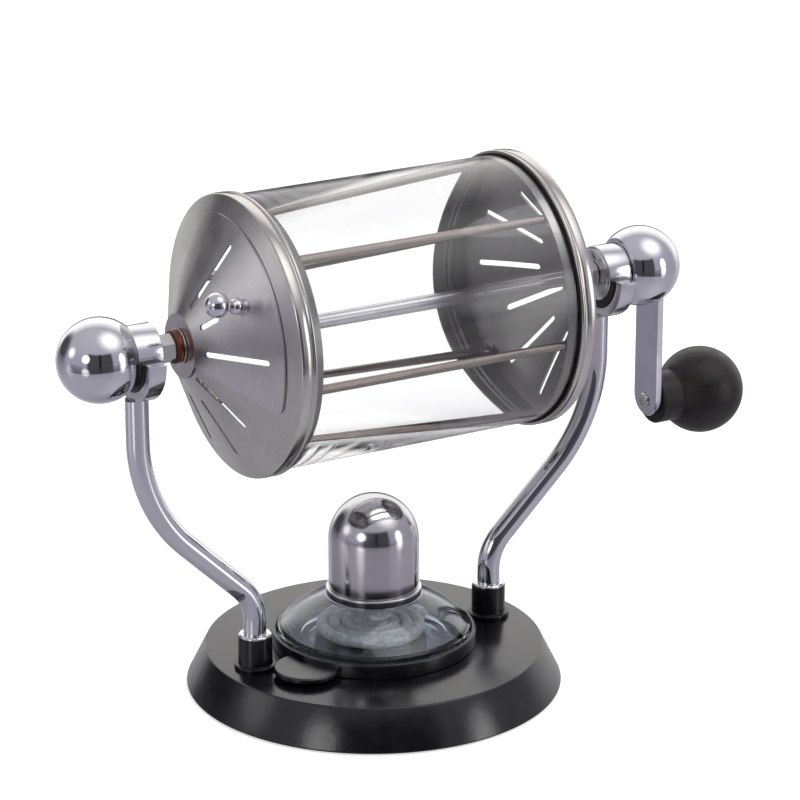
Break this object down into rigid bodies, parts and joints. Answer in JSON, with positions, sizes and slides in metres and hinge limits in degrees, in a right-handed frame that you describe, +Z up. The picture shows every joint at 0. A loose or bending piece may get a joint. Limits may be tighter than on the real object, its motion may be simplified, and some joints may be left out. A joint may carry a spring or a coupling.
{
  "type": "stovetop coffee bean roaster",
  "caption": "Hand cranked coffee bean roaster: glass drum with slotted conical steel ends in a bent-rod stand on a round base, with a spirit lamp under it.",
  "frame": {"origin": "centre of the base's underside", "axes": "+Z up, +X along the drum's axle towards the crank, -Y towards the user"},
  "size_m": [0.3047, 0.15, 0.2078],
  "materials": {
    "black_casting": "satin",
    "pad_rubber": "matte",
    "black_socket": "gloss",
    "chrome": "mirror",
    "zinc_steel": "satin",
    "yoke_steel": "satin",
    "liner_black": "matte",
    "sleeve_steel": "polished",
    "drum_glass": "clear",
    "brushed_sheet": "brushed",
    "polished_rim": "polished",
    "gasket_black": "matte",
    "rod_steel": "polished",
    "axle_steel": "satin",
    "washer_steel": "satin",
    "copper": "polished",
    "fibre": "matte",
    "arm_steel": "satin",
    "knob_resin": "satin",
    "door_sheet": "brushed",
    "black_tray": "gloss",
    "lamp_glass": "clear",
    "burner_plate": "polished",
    "wick_cotton": "matte",
    "cap_steel": "polished"
  },
  "bodies": {
    "stand": {"base_shell": "black_casting", "base_pad": "pad_rubber", "socket_left": "black_socket", "post_left": "chrome", "post_nut_left": "zinc_steel", "post_washer_left": "zinc_steel", "yoke_left": "yoke_steel", "saddle_liner_left": "liner_black", "socket_right": "black_socket", "post_right": "chrome", "post_nut_right": "zinc_steel", "post_washer_right": "zinc_steel", "yoke_right": "yoke_steel", "saddle_liner_right": "liner_black"},
    "bearings": {"bearing_sleeve_left": "sleeve_steel", "bearing_sleeve_right": "sleeve_steel"},
    "drum": {"glass_cylinder": "drum_glass", "left_end_cap": "brushed_sheet", "right_end_cap": "brushed_sheet", "left_rim_ring": "polished_rim", "right_rim_ring": "polished_rim", "left_gasket": "gasket_black", "right_gasket": "gasket_black", "stir_rod_1": "rod_steel", "stir_rod_2": "rod_steel", "stir_rod_3": "rod_steel", "stir_rod_4": "rod_steel", "stir_rod_5": "rod_steel", "stir_rod_6": "rod_steel", "axle": "axle_steel", "inner_hub_nut_left": "zinc_steel", "inner_hub_nut_right": "zinc_steel", "door_bush": "washer_steel", "hub_washer": "washer_steel", "copper_washer_left": "copper", "copper_washer_right": "copper", "fibre_washer_left": "fibre", "fibre_washer_right": "fibre", "lock_nut_left": "washer_steel", "lock_nut_right": "washer_steel", "left_ball": "chrome", "crank_ball": "chrome", "crank_arm": "arm_steel", "knob_spindle": "washer_steel"},
    "crank_knob": {"crank_knob": "knob_resin"},
    "door": {"bean_door": "door_sheet", "door_knob": "chrome"},
    "lamp": {"lamp_tray": "black_tray", "lamp_font": "lamp_glass", "burner_collar": "burner_plate", "wick": "wick_cotton"},
    "snuffer_cap": {"snuffer_cap": "cap_steel"}
  },
  "joints": [
    {"name": "lift_out", "type": "slide", "parent": "stand", "child": "bearings", "axis": [0, 0, 1], "range_m": [0, 0.06]},
    {"name": "drum_spin", "type": "hinge", "parent": "bearings", "child": "drum", "pos_m": [0.0033, 0, 0.153], "axis": [1, 0, 0], "continuous": true},
    {"name": "knob_spin", "type": "hinge", "parent": "drum", "child": "crank_knob", "pos_m": [0.15, 0, 0.0951], "axis": [1, 0, 0], "continuous": true},
    {"name": "door_swing", "type": "hinge", "parent": "drum", "child": "door", "pos_m": [0.0033, 0, 0.153], "axis": [1, 0, 0], "range_deg": [0, 125]},
    {"name": "lamp_slide", "type": "slide", "parent": "stand", "child": "lamp", "axis": [0, -1, 0], "range_m": [0, 0.045]},
    {"name": "cap_lift", "type": "slide", "parent": "lamp", "child": "snuffer_cap", "axis": [0, 0, 1], "range_m": [0, 0.018]}
  ]
}
